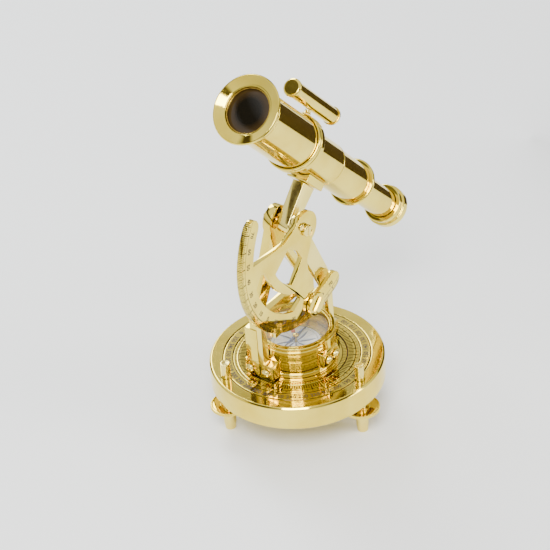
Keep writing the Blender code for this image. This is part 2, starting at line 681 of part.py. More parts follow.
def make_side_lug():
    """Lug on the bowl's near side, with a tongue up to the rim and two round-headed screws."""
    low = BASE_TOP + LUG_LOW
    inner = BOWL_RADIUS - BOWL_RIM_WALL
    outer = BOWL_RADIUS + LUG_DEPTH
    lug = add("side_lug", box_mesh("side_lug", (LUG_CENTRE - LUG_HALF_WIDTH, -outer, low),
                                   (LUG_CENTRE + LUG_HALF_WIDTH, -inner, low + LUG_HEIGHT)),
              BRASS, AZIMUTH)
    join(lug, box_mesh("tongue", (LUG_CENTRE - TONGUE_HALF_WIDTH, -BOWL_RADIUS - TONGUE_DEPTH, low + GAP),
                       (LUG_CENTRE + TONGUE_HALF_WIDTH, -inner, BOWL_TOP)))
    space = cylinder_mesh("lug_space", BOWL_RADIUS + GAP, 4 * BOWL_HEIGHT, SEGMENTS_LARGE)
    cut(lug, cutter("lug_space", space, shift(0, 0, BOWL_TOP)))
    for index, side in enumerate((-1, 1)):
        place = shift(LUG_CENTRE + side * LUG_SCREW_SPACING, -outer, low + LUG_HEIGHT / 2)
        round_screw("lug_screw_%d" % (index + 1), place @ turn_x(90))


def round_screw(name, place):
    """Round-headed screw standing on a face, its axis along the place's Z."""
    dome = arc_points(1.0, 90, 0, 6)
    turned(name, [(HEAD_RADIUS * x, GAP + HEAD_HEIGHT * y) for x, y in dome] + [(0.0, GAP)],
           PALE_BRASS, AZIMUTH, place, segments=SEGMENTS_SMALL)


def make_foot_screws():
    """One round-headed screw on the outer face of each foot pad."""
    height = BASE_TOP + FOOT_SCREW_HEIGHT
    near_left = sum(NEAR_LEFT_PAD) / 2
    near_right = sum(NEAR_RIGHT_PAD) / 2
    far = FAR_POST[1] - HEAD_RADIUS
    for name, side, y in (("near_left", -1, near_left), ("near_right", 1, near_right),
                          ("far_left", -1, far), ("far_right", 1, far)):
        round_screw("foot_screw_" + name, shift(side * PAD_OUTER, y, height) @ turn_y(side * 90))


def polar(radius, degrees):
    """Point of the arc's drawing: degrees from the stem direction, which points down."""
    angle = math.radians(degrees)
    return (radius * math.sin(angle), -radius * math.cos(angle))


def sweep(radius, start, end, count):
    """Points along a circle about the trunnion in the arc's drawing."""
    return [polar(radius, start + (end - start) * i / count) for i in range(count + 1)]


def make_arc():
    """Anchor-shaped plate: graduated rim with rounded ends, two spokes, a brace and a hub."""
    inner = ARC_RADIUS - ARC_WIDTH
    middle = ARC_RADIUS - ARC_WIDTH / 2
    tip = math.degrees(ARC_WIDTH / 2 / middle)
    ends = []
    for side in (-1, 1):
        centre = polar(middle, side * ARC_SPAN)
        start = -90 + side * ARC_SPAN
        ends.append(arc_points(ARC_WIDTH / 2, start, start + side * 180, 8, centre)[1:-1])
    left_tip, right_tip = ends
    outline = sweep(ARC_RADIUS, -ARC_SPAN, ARC_SPAN, 48)
    outline += right_tip
    outline += sweep(inner, ARC_SPAN, SPOKE_ANGLE, 7)
    outline += [polar(SPOKE_START, SPOKE_ANGLE)]
    outline += arc_points(ARC_HUB_RADIUS, -HUB_DIP, 180 + HUB_DIP, 18)
    outline += [polar(SPOKE_START, -SPOKE_ANGLE)]
    outline += sweep(inner, -SPOKE_ANGLE, -ARC_SPAN, 7)
    outline += reversed(left_tip)
    brace_inner = BRACE_RADIUS - BRACE_WIDTH
    half = math.degrees(math.asin(WINDOW_HALF_WIDTH / brace_inner))
    eaves_x, eaves_y = WINDOW_EAVES
    upper = [(0.0, -WINDOW_PEAK), (-eaves_x, -eaves_y)]
    upper += sweep(brace_inner, -half, half, 8)
    upper += [(eaves_x, -eaves_y)]
    tip_angle = LOWER_WINDOW_ANGLE
    rim_angle = tip_angle * LOWER_WINDOW_RIM_SHARE
    brace_angle = tip_angle * LOWER_WINDOW_BRACE_SHARE
    lower = [polar(LOWER_WINDOW_TIP, -tip_angle)]
    lower += sweep(inner, -rim_angle, rim_angle, 14)
    lower += [polar(LOWER_WINDOW_TIP, tip_angle)]
    lower += sweep(BRACE_RADIUS, brace_angle, -brace_angle, 14)
    arc = add("vertical_arc", outline_mesh("vertical_arc", [outline, upper, lower], ARC_THICKNESS), BRASS,
              TILT, shift(0, -ARC_BACK - ARC_THICKNESS / 2, 0) @ SIDE_VIEW)
    bore = cylinder_mesh("arc_bore", AXLE_RADIUS + GAP, 4 * FAR_BACK, SEGMENTS_SMALL)
    cut(arc, cutter("arc_bore", bore, TELESCOPE_FRAME @ turn_x(90)))
    clamp_hole = cylinder_mesh("clamp_hole", CLAMP_SHANK_RADIUS + GAP, 4 * FAR_BACK, SEGMENTS_SMALL)
    cut(arc, cutter("clamp_hole", clamp_hole, clamp_place()))
    for side in (-1, 1):
        hole = cylinder_mesh("arc_screw_hole", ARC_SCREW_SHANK + GAP, 4 * FAR_BACK, SEGMENTS_SMALL)
        place = TELESCOPE_FRAME @ shift(0, 0, side * ARC_SCREW_OFFSET) @ turn_x(90)
        cut(arc, cutter("arc_screw_hole", hole, place))


def clamp_place():
    """Place of the clamp screw: on the arc's front face, its Z pointing outwards."""
    along, up = polar(CLAMP_RADIUS, -CLAMP_ANGLE)
    return TELESCOPE_FRAME @ shift(up, -ARC_BACK - ARC_THICKNESS, along) @ turn_x(90)


def make_clamp():
    """Thumb screw through the arc's corner; its tip bears on the near standard."""
    axis = axis_empty("clamp_axis", clamp_place(), TILT)
    tip = -(ARC_THICKNESS + ARC_BACK - NEAR_FRONT - GAP)
    screw = turned("clamp_screw", [
        (0.0, GAP + CLAMP_DISC_THICKNESS),
        (CLAMP_DISC_RADIUS - GAP, GAP + CLAMP_DISC_THICKNESS),
        (CLAMP_DISC_RADIUS, CLAMP_DISC_THICKNESS),
        (CLAMP_DISC_RADIUS, GAP),
        (CLAMP_SHANK_RADIUS, GAP),
        (CLAMP_SHANK_RADIUS, tip),
        (0.0, tip),
    ], BRASS, axis, segments=36)
    top = CLAMP_DISC_THICKNESS
    half = CLAMP_BAR_LENGTH / 2
    join(screw, box_mesh("thumb_bar", (-half, -CLAMP_BAR_WIDTH / 2, top - CLAMP_DISC_THICKNESS / 2),
                         (half, CLAMP_BAR_WIDTH / 2, top + CLAMP_BAR_HEIGHT)))


def make_trunnion():
    """Axle through both standards, with the boss that carries the arc, its screws and the end nut."""
    near_end = ARC_BACK + ARC_THICKNESS
    along_y = turn_x(90)
    turned("trunnion_axle", disc_points(AXLE_RADIUS, -FAR_BACK - TRUNNION_NUT_THICKNESS, near_end),
           DARK_BRASS, TILT, along_y, segments=SEGMENTS_SMALL)
    turned("arc_boss", ring_points(AXLE_RADIUS + GAP, BOSS_RING_RADIUS, NEAR_FRONT + GAP, ARC_BACK - GAP),
           BRASS, TILT, along_y, closed=True)
    turned("hub_screw", disc_points(HUB_SCREW_RADIUS, near_end + GAP, near_end + GAP + HUB_SCREW_HEIGHT),
           PALE_BRASS, TILT, along_y, segments=SEGMENTS_SMALL)
    nut = add("trunnion_nut", cylinder_mesh("trunnion_nut", TRUNNION_NUT_RADIUS, TRUNNION_NUT_THICKNESS, 6),
              BRASS, TILT, shift(0, FAR_BACK + GAP + TRUNNION_NUT_THICKNESS / 2, 0) @ along_y)
    cut(nut, cutter("trunnion_nut_bore",
                    cylinder_mesh("trunnion_nut_bore", AXLE_RADIUS + GAP, 4 * FAR_BACK, SEGMENTS_SMALL),
                    nut.matrix_world))
    for index, side in enumerate((-1, 1)):
        turned("arc_screw_%d" % (index + 1), [
            (0.0, near_end + GAP + ARC_SCREW_HEAD / 2),
            (ARC_SCREW_HEAD, near_end + GAP + ARC_SCREW_HEAD / 4),
            (ARC_SCREW_HEAD, near_end + GAP),
            (ARC_SCREW_SHANK, near_end + GAP),
            (ARC_SCREW_SHANK, ARC_BACK),
            (0.0, ARC_BACK),
        ], PALE_BRASS, TILT, shift(0, 0, side * ARC_SCREW_OFFSET) @ along_y, segments=16)


def make_stem():
    """Flat stem from the trunnion to the saddle that is shaped to the telescope's sleeve."""
    saddle_low = AXIS_HEIGHT - SLEEVE_RADIUS - GAP - SADDLE_HEIGHT + SADDLE_RISE
    stem_top = saddle_low - GAP
    outline = arc_points(STEM_HALF_DEPTH, 180, 360, 8, (0.0, STEM_HALF_DEPTH - STEM_BELOW))
    outline += [(STEM_TOP_HALF_DEPTH, stem_top), (-STEM_TOP_HALF_DEPTH, stem_top)]
    stem = add("stem_bar", outline_mesh("stem_bar", [outline], 2 * STEM_HALF_WIDTH), PALE_BRASS, TILT,
               SIDE_VIEW)
    bore = cylinder_mesh("stem_bore", AXLE_RADIUS + GAP, 4 * FAR_BACK, SEGMENTS_SMALL)
    cut(stem, cutter("stem_bore", bore, TELESCOPE_FRAME @ turn_x(90)))
    saddle = add("saddle_block",
                 box_mesh("saddle_block", (saddle_low, -SADDLE_HALF_WIDTH, -SADDLE_HALF_LENGTH),
                          (saddle_low + SADDLE_HEIGHT, SADDLE_HALF_WIDTH, SADDLE_HALF_LENGTH)),
                 BRASS, TILT)
    space = cylinder_mesh("sleeve_space", SLEEVE_RADIUS + GAP, 4 * SADDLE_HALF_LENGTH, SEGMENTS_MEDIUM)
    cut(saddle, cutter("sleeve_space", space, FOCUS.matrix_world))


def tube(name, outer, wall, back, front, finish, parent=None, place=None):
    """Plain tube along the telescope."""
    return turned(name, ring_points(outer - wall, outer, back, front), finish, parent or TILT,
                  ON_AXIS if place is None else place, closed=True)


def make_telescope():
    """Fixed parts of the telescope, from the bell back to the flange ring."""
    tube("telescope_sleeve", SLEEVE_RADIUS, SLEEVE_WALL, -SLEEVE_BACK, RING_BACK - GAP, BRASS)
    tube("rear_tube", REAR_TUBE_RADIUS, TUBE_WALL, -REAR_TUBE_BACK + GAP, RING_BACK, BRASS)
    shoulder = RING_BACK + SLEEVE_WALL
    turned("main_ring", [
        (BARREL_RADIUS + GAP, RING_FRONT),
        (RING_RADIUS, RING_FRONT),
        (RING_RADIUS, RING_BACK),
        (REAR_TUBE_RADIUS + GAP, RING_BACK),
        (REAR_TUBE_RADIUS + GAP, shoulder),
        (BARREL_RADIUS + GAP, shoulder),
    ], BRASS, TILT, ON_AXIS, closed=True)
    tube("main_barrel", BARREL_RADIUS, BARREL_WALL, shoulder + GAP, BELL_BACK - GAP, BRASS)
    spigot = BARREL_RADIUS - BARREL_WALL - GAP
    seat = BELL_FRONT - LENS_DEPTH
    flare = []
    for i in range(FLARE_STEPS + 1):
        share = 1 - i / FLARE_STEPS
        flare.append((BARREL_RADIUS + (BELL_RADIUS - BARREL_RADIUS) * share ** FLARE_POWER,
                      BELL_BACK + (BELL_LENGTH - BELL_EDGE) * share))
    turned("bell_hood", [
        (BELL_BORE, BELL_FRONT - BELL_LIP_DEPTH),
        (BELL_RADIUS - BELL_EDGE, BELL_FRONT),
    ] + flare + [
        (spigot, BELL_BACK),
        (spigot, BELL_BACK - BELL_SPIGOT),
        (BELL_BORE - LENS_SEAT_WIDTH, BELL_BACK - BELL_SPIGOT),
        (BELL_BORE - LENS_SEAT_WIDTH, seat),
        (BELL_BORE, seat),
    ], BRASS, TILT, ON_AXIS, closed=True)
    lens_radius = BELL_BORE - GAP
    lens_back = seat + GAP
    lens_front = lens_back + LENS_THICKNESS
    turned("objective_lens", [
        (0.0, lens_front),
        (lens_radius / 2, lens_front - LENS_THICKNESS / 10),
        (lens_radius, lens_front - LENS_THICKNESS / 3),
        (lens_radius, lens_back),
        (0.0, lens_back),
    ], LENS, TILT, ON_AXIS)
    ring_back = lens_front - LENS_THICKNESS / 3 + GAP
    turned("lens_ring", ring_points(lens_radius - LENS_SEAT_WIDTH / 2, lens_radius, ring_back + GAP,
                                    ring_back + GAP + LENS_RING_THICKNESS), DARK_BRASS, TILT, ON_AXIS,
           closed=True)
    turned("flange_ring", ring_points(DRAW_RADIUS + GAP, FLANGE_RING_RADIUS,
                                      -REAR_TUBE_BACK - FLANGE_RING_WIDTH, -REAR_TUBE_BACK), BRASS, TILT,
           ON_AXIS, closed=True)


def make_draw_tube():
    """Sliding draw tube with its stop ring, eyepiece and eye lens."""
    back = -EYEPIECE_FRONT - EYEPIECE_LENGTH + EYE_END_WALL
    lens_back = back + GAP
    tube_back = lens_back + EYE_LENS_THICKNESS + GAP
    tube_front = tube_back + DRAW_LENGTH
    bore = DRAW_RADIUS + GAP
    turned("draw_tube", ring_points(DRAW_RADIUS - DRAW_WALL, DRAW_RADIUS, tube_back, tube_front), BRASS,
           FOCUS, closed=True)
    turned("draw_tube_stop", ring_points(bore, REAR_TUBE_BORE - GAP,
                                         tube_front - DRAW_STOP_WIDTH, tube_front), DARK_BRASS, FOCUS,
           closed=True)
    end = -EYEPIECE_FRONT - EYEPIECE_LENGTH
    groove = EYEPIECE_RADIUS - EYEPIECE_GROOVE
    third = EYEPIECE_LENGTH / 3
    turned("eyepiece", [
        (bore, -EYEPIECE_FRONT),
        (EYEPIECE_RADIUS - EYEPIECE_EDGE, -EYEPIECE_FRONT),
        (EYEPIECE_RADIUS - EYEPIECE_EDGE, -EYEPIECE_FRONT - third),
        (groove, -EYEPIECE_FRONT - third - GAP),
        (groove, -EYEPIECE_FRONT - 1.3 * third),
        (EYEPIECE_RADIUS, -EYEPIECE_FRONT - 1.3 * third - GAP),
        (EYEPIECE_RADIUS, end + EYEPIECE_EDGE),
        (EYEPIECE_RADIUS - EYEPIECE_EDGE, end),
        (EYE_HOLE_RADIUS, end),
        (EYE_HOLE_RADIUS, back),
        (bore, back),
    ], BRASS, FOCUS, closed=True)
    turned("eye_lens", disc_points(DRAW_RADIUS, lens_back, lens_back + EYE_LENS_THICKNESS), LENS, FOCUS)


def make_level():
    """Level on top of the telescope: slotted tube, glass vial, end caps and a post on the main ring."""
    axis = shift(AXIS_HEIGHT + LEVEL_HEIGHT, 0, 0)
    back = LEVEL_FRONT - LEVEL_LENGTH
    level = tube("level_tube", LEVEL_RADIUS, LEVEL_WALL, back, LEVEL_FRONT, BRASS, place=axis)
    middle = (back + LEVEL_FRONT) / 2
    slot = box_mesh("level_slot", (0.0, -LEVEL_SLOT_WIDTH / 2, middle - LEVEL_SLOT_LENGTH / 2),
                    (2 * LEVEL_RADIUS, LEVEL_SLOT_WIDTH / 2, middle + LEVEL_SLOT_LENGTH / 2))
    cut(level, cutter("level_slot", slot, TELESCOPE_FRAME @ axis))
    turned("level_vial", disc_points(LEVEL_RADIUS - LEVEL_WALL - GAP, back + GAP, LEVEL_FRONT - GAP), GLASS,
           TILT, axis, segments=SEGMENTS_SMALL)
    for name, low in (("front", LEVEL_FRONT + GAP), ("rear", back - GAP - LEVEL_CAP_WIDTH)):
        turned("level_cap_" + name, disc_points(LEVEL_CAP_RADIUS, low, low + LEVEL_CAP_WIDTH), BRASS, TILT,
               axis)
    foot = AXIS_HEIGHT + RING_RADIUS + GAP
    head = AXIS_HEIGHT + LEVEL_HEIGHT - LEVEL_RADIUS - GAP
    ring_middle = (RING_FRONT + RING_BACK) / 2
    turned("level_post", disc_points(LEVEL_POST_RADIUS, foot, head), PALE_BRASS, TILT,
           shift(0, 0, ring_middle) @ turn_y(90), segments=SEGMENTS_SMALL)


make_base()
make_spindle()
make_levelling_screws()
make_compass()
make_needle()
make_standards()
make_side_lug()
make_foot_screws()
make_arc()
make_clamp()
make_trunnion()
make_stem()
make_telescope()
make_draw_tube()
make_level()
for piece in PARTS.objects:
    if piece.type == "MESH" and not piece.modifiers:
        smooth(piece)
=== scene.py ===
"""Looks of the brass desk theodolite: fine turned pieces, knurling, engraved scales and finishes."""
import math

import bmesh
import bpy
import numpy as np
from mathutils import Matrix, Vector


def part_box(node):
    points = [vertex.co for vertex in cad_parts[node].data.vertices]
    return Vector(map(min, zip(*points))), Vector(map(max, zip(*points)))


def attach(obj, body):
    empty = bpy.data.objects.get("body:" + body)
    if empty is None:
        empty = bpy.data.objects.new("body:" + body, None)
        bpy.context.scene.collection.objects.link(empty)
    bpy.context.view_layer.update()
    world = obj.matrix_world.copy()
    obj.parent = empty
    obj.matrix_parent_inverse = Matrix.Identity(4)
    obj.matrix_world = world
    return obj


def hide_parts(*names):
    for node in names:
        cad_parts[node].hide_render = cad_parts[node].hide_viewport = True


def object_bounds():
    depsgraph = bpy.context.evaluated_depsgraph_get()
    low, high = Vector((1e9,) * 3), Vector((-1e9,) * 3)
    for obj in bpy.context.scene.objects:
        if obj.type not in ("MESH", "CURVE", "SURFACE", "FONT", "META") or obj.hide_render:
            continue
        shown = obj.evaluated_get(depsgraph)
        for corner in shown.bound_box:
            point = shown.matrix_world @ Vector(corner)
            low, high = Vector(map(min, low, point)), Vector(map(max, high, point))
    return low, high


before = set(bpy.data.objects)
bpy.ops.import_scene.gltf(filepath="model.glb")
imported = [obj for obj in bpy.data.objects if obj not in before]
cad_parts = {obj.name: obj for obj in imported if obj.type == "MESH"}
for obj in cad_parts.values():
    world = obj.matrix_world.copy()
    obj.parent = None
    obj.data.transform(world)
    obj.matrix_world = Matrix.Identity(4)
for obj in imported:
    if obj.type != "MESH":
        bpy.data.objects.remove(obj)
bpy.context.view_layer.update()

MM = 0.001
PITCH = 48                       # degrees that the telescope points above the horizontal at rest
TRUNNION = Vector((0, 0, 106 * MM))
AXIS_HEIGHT = 40 * MM            # telescope axis above the trunnion
BASE_TOP = 15 * MM
ARC_FACE = 12.2 * MM             # distance of the arc's front face from the middle plane
ALONG = Vector((-math.cos(math.radians(PITCH)), 0, math.sin(math.radians(PITCH))))
UP = Vector((math.sin(math.radians(PITCH)), 0, math.cos(math.radians(PITCH))))
TELESCOPE = Matrix.Translation(TRUNNION) @ Matrix.Rotation(math.radians(PITCH - 90), 4, "Y")
OPTICAL = TELESCOPE @ Matrix.Translation((AXIS_HEIGHT, 0, 0))
LEVEL = OPTICAL @ Matrix.Translation((24.5 * MM, 0, 0))
FRONTWARD = Matrix.Rotation(math.radians(90), 4, "X")
HALF_TURN = Matrix.Rotation(math.pi, 4, "Z")
SCREW_CIRCLE = 43.7 * MM
SCREW_ANGLES = {"left": 149, "front": 269, "right": 29}
UNDER_CLAMP = -50                # degree mark of the arc that the clamp screw goes through


# ---------------------------------------------------------------- camera, floor and light
def add_camera():
    """Long lens looking down at the instrument, held slightly out of level."""
    elevation, azimuth, roll = math.radians(36), math.radians(-52), math.radians(4.5)
    distance, frame_width = 1.8, 0.3125
    back = Vector((math.sin(azimuth) * math.cos(elevation), -math.cos(azimuth) * math.cos(elevation),
                   math.sin(elevation)))
    right = Vector((math.cos(azimuth), math.sin(azimuth), 0))
    up = back.cross(right)
    tilted_right = right * math.cos(roll) - up * math.sin(roll)
    tilted_up = right * math.sin(roll) + up * math.cos(roll)
    target = Vector((0, 0, BASE_TOP)) - tilted_right * 12.5 * MM + tilted_up * 44.9 * MM
    data = bpy.data.cameras.new("camera")
    data.sensor_width = 36
    data.lens = data.sensor_width * distance / frame_width
    data.clip_end = 50
    camera = bpy.data.objects.new("camera", data)
    bpy.context.scene.collection.objects.link(camera)
    turn = Matrix((tilted_right, tilted_up, back)).transposed().to_4x4()
    camera.matrix_world = Matrix.Translation(target + back * distance) @ turn
    bpy.context.scene.camera = camera


def add_area(name, place, size, power, colour):
    """Soft square light that faces the instrument."""
    data = bpy.data.lights.new(name, "AREA")
    data.size = size
    data.energy = power
    data.color = colour
    light = bpy.data.objects.new(name, data)
    bpy.context.scene.collection.objects.link(light)
    light.location = place
    aim = Vector((0, 0, 0.1)) - Vector(place)
    light.rotation_euler = aim.to_track_quat("-Z", "Y").to_euler()


WORLD_STRENGTH = 1.35
WORLD_STOPS = ((0.0, (0.22, 0.19, 0.15)), (0.10, (0.10, 0.07, 0.04)), (0.20, (0.70, 0.70, 0.69)),
               (0.59, (1.0, 1.0, 1.0)), (0.64, (0.06, 0.045, 0.03)), (0.72, (0.06, 0.05, 0.04)),
               (0.80, (1.0, 1.0, 1.0)))
FLOOR_HALF_SIZE = 4.0
CARD_X = 300 * MM
CARD_NEAR, CARD_FAR, CARD_TOP = -250 * MM, 30 * MM, 125 * MM


def add_world():
    """World that is white all round but for two dark bands, one at the horizon and one high up."""
    world = bpy.data.worlds.new("studio")
    world.use_nodes = True
    bpy.context.scene.world = world
    tree = world.node_tree
    background = tree.nodes["Background"]
    direction = tree.nodes.new("ShaderNodeTexCoord")
    split = tree.nodes.new("ShaderNodeSeparateXYZ")
    ramp = tree.nodes.new("ShaderNodeValToRGB")
    tree.links.new(direction.outputs["Generated"], split.inputs[0])
    tree.links.new(split.outputs["Z"], ramp.inputs["Fac"])
    elements = ramp.color_ramp.elements
    while len(elements) < len(WORLD_STOPS):
        elements.new(0.5)
    for element, (position, colour) in zip(elements, WORLD_STOPS):
        element.position = position
        element.color = (*colour, 1)
    tree.links.new(ramp.outputs["Color"], background.inputs["Color"])
    background.inputs["Strength"].default_value = WORLD_STRENGTH


def studio_sheet(name, corners, finish):
    """Flat four-cornered sheet that belongs to the studio and not to the instrument."""
    mesh = bpy.data.meshes.new(name)
    mesh.from_pydata(corners, [], [(0, 1, 2, 3)])
    mesh.materials.append(finish.material)
    sheet = bpy.data.objects.new(name, mesh)
    bpy.context.scene.collection.objects.link(sheet)
    return sheet


def add_studio():
    """Three soft lights, the world, a pale floor, and a dark card that only reflections show."""
    add_area("key_light", (-0.9, -0.5, 1.3), 0.7, 34, (1.0, 0.98, 0.95))
    add_area("side_light", (0.5, -1.3, 0.7), 0.5, 11, (1.0, 0.97, 0.92))
    add_area("back_light", (0.6, 1.0, 0.9), 0.6, 16, (0.95, 0.98, 1.0))
    add_world()
    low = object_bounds()[0].z
    paint = Finish("floor_paint", (0.86, 0.88, 0.88), 0.5, 0.0)
    paint.colour_between(paint.noise(3.0, 4), (0.85, 0.875, 0.88), (0.885, 0.90, 0.905))
    half = FLOOR_HALF_SIZE
    studio_sheet("floor", [(-half, -half, low), (half, -half, low), (half, half, low), (-half, half, low)],
                 paint)
    cloth = Finish("dark_cloth", (0.03, 0.02, 0.01), 0.9, 0.0)
    cloth.colour_between(cloth.noise(30, 3), (0.025, 0.015, 0.008), (0.04, 0.027, 0.015))
    card = studio_sheet("dark_card", [(CARD_X, CARD_NEAR, low), (CARD_X, CARD_FAR, low),
                                      (CARD_X, CARD_FAR, CARD_TOP), (CARD_X, CARD_NEAR, CARD_TOP)], cloth)
    card.visible_camera = False
    card.visible_shadow = False


# ---------------------------------------------------------------- shader maths
class Wire:
    """A number that changes over a surface. Arithmetic on it adds Math nodes."""

    def __init__(self, finish, socket):
        self.finish = finish
        self.socket = socket

    def maths(self, operation, *others):
        values = [self, *others]
        inputs = {i: value.socket if isinstance(value, Wire) else value for i, value in enumerate(values)}
        node = self.finish.node("ShaderNodeMath", {"operation": operation}, inputs)
        return Wire(self.finish, node.outputs[0])

    def reflected(self, operation, other):
        node = self.finish.node("ShaderNodeMath", {"operation": operation}, {0: other, 1: self.socket})
        return Wire(self.finish, node.outputs[0])

    def __add__(self, other):
        return self.maths("ADD", other)

    __radd__ = __add__

    def __mul__(self, other):
        return self.maths("MULTIPLY", other)

    __rmul__ = __mul__

    def __sub__(self, other):
        return self.maths("SUBTRACT", other)

    def __rsub__(self, other):
        return self.reflected("SUBTRACT", other)

    def __truediv__(self, other):
        return self.maths("DIVIDE", other)

    def __gt__(self, other):
        return self.maths("GREATER_THAN", other)

    def __lt__(self, other):
        return self.maths("LESS_THAN", other)

    def __abs__(self):
        return self.maths("ABSOLUTE")


class Finish:
    """A Principled material, with the coordinates and textures its pattern needs."""

    def __init__(self, name, colour, roughness, metallic, **constants):
        self.material = bpy.data.materials.new(name)
        self.material.use_nodes = True
        self.tree = self.material.node_tree
        self.shader = self.tree.nodes["Principled BSDF"]
        self.shader.inputs["Base Color"].default_value = (*colour, 1)
        self.shader.inputs["Roughness"].default_value = roughness
        self.shader.inputs["Metallic"].default_value = metallic
        for label, value in constants.items():
            self.shader.inputs[label.replace("_", " ").title().replace("Ior", "IOR")].default_value = value
        self.coordinates = self.node("ShaderNodeTexCoord", {}, {}).outputs["Object"]

    def node(self, kind, settings, inputs):
        """One node of a type, with its settings set first and then its sockets."""
        made = self.tree.nodes.new(kind)
        for label, value in settings.items():
            setattr(made, label, value)
        for key, value in inputs.items():
            if isinstance(value, Wire):
                value = value.socket
            if isinstance(value, bpy.types.NodeSocket):
                self.tree.links.new(value, made.inputs[key])
            else:
                made.inputs[key].default_value = value
        return made

    def axes(self, place=None):
        """X, Y and Z in the frame of a place, from Object coordinates."""
        source = self.coordinates
        if place is not None:
            inverse = place.inverted()
            turned_place = self.node("ShaderNodeMapping", {"vector_type": "POINT"}, {
                "Vector": source, "Location": inverse.translation, "Rotation": inverse.to_euler()})
            source = turned_place.outputs[0]
        split = self.node("ShaderNodeSeparateXYZ", {}, {0: source})
        return [Wire(self, split.outputs[i]) for i in range(3)]

    def noise(self, scale, detail, stretch=None):
        """Noise from 0 to 1 on Object coordinates, stretched along an axis where asked."""
        source = self.coordinates
        if stretch is not None:
            source = self.node("ShaderNodeMapping", {}, {"Vector": source, "Scale": stretch}).outputs[0]
        made = self.node("ShaderNodeTexNoise", {}, {"Vector": source, "Scale": scale, "Detail": detail})
        return Wire(self, made.outputs["Fac"])

    def mix(self, factor, first, second):
        """Colour between two colours."""
        def filled(colour):
            return (*colour, 1) if isinstance(colour, tuple) and len(colour) == 3 else colour
        made = self.node("ShaderNodeMix", {"data_type": "RGBA", "clamp_factor": True},
                         {0: factor, 6: filled(first), 7: filled(second)})
        return made.outputs[2]

    def colour_between(self, factor, first, second):
        made = self.mix(factor, first, second)
        self.tree.links.new(made, self.shader.inputs["Base Color"])
        return made

    def roughness(self, wire):
        self.tree.links.new(wire.socket, self.shader.inputs["Roughness"])

    def bump(self, height, distance, strength=1.0):
        made = self.node("ShaderNodeBump", {}, {"Height": height, "Distance": distance,
                                                "Strength": strength})
        self.tree.links.new(made.outputs[0], self.shader.inputs["Normal"])


def brass(name, light, deep, roughness, place=None, lines=0.0):
    """Polished brass: warmer clouds, faint rub marks, and turning lines about a place's Z."""
    finish = Finish(name, light, roughness, 1.0)
    clouds = finish.noise(55, 3)
    finish.colour_between((clouds - 0.35) * 2.2, light, deep)
    rubs = finish.noise(420, 4)
    finish.roughness(roughness + (rubs - 0.5) * roughness * 1.1 + (clouds - 0.5) * 0.05)
    if place is not None and lines > 0:
        x, y, z = finish.axes(place)
        radius = (x * x + y * y).maths("SQRT")
        groove = (radius * 9000).maths("SINE") * 0.5 + (z * 7000 + rubs * 2.0).maths("SINE") * 0.5
        finish.bump(groove, lines)
    else:
        finish.bump(rubs, 0.0000015)
    return finish


def ticks(finish, angle, radius, step, width, inner, outer):
    """1 on radial lines every step degrees between two radii; width is a share of the step."""
    phase = (angle / step + 0.5).maths("FRACT") - 0.5
    return (abs(phase) < width) * (radius > inner) * (radius < outer)


def engraved(name, light, deep, roughness, place, axes_order, rings, scales):
    """Brass with dark engraved circles and degree marks round a place's axis."""
    finish = brass(name, light, deep, roughness)
    coordinates = finish.axes(place)
    across, upward = (coordinates[i] for i in axes_order)
    radius = (across * across + upward * upward).maths("SQRT")
    angle = across.maths("ARCTAN2", upward) * (180 / math.pi)
    mask = None
    for centre, half in rings:
        line = abs(radius - centre * MM) < half * MM
        mask = line if mask is None else mask.maths("MAXIMUM", line)
    for step, width, inner, outer in scales:
        line = ticks(finish, angle, radius, step, width, inner * MM, outer * MM)
        mask = line if mask is None else mask.maths("MAXIMUM", line)
    plain = finish.shader.inputs["Base Color"].links[0].from_socket
    finish.tree.links.new(finish.mix(mask, plain, (0.05, 0.028, 0.008)), finish.shader.inputs["Base Color"])
    finish.bump(1 - mask, 0.00006)
    return finish


GOLD, DEEP = (0.88, 0.70, 0.115), (0.74, 0.54, 0.05)
CREAM, STRAW = (0.91, 0.76, 0.22), (0.84, 0.65, 0.12)
BRONZE, UMBER = (0.70, 0.50, 0.10), (0.48, 0.30, 0.04)


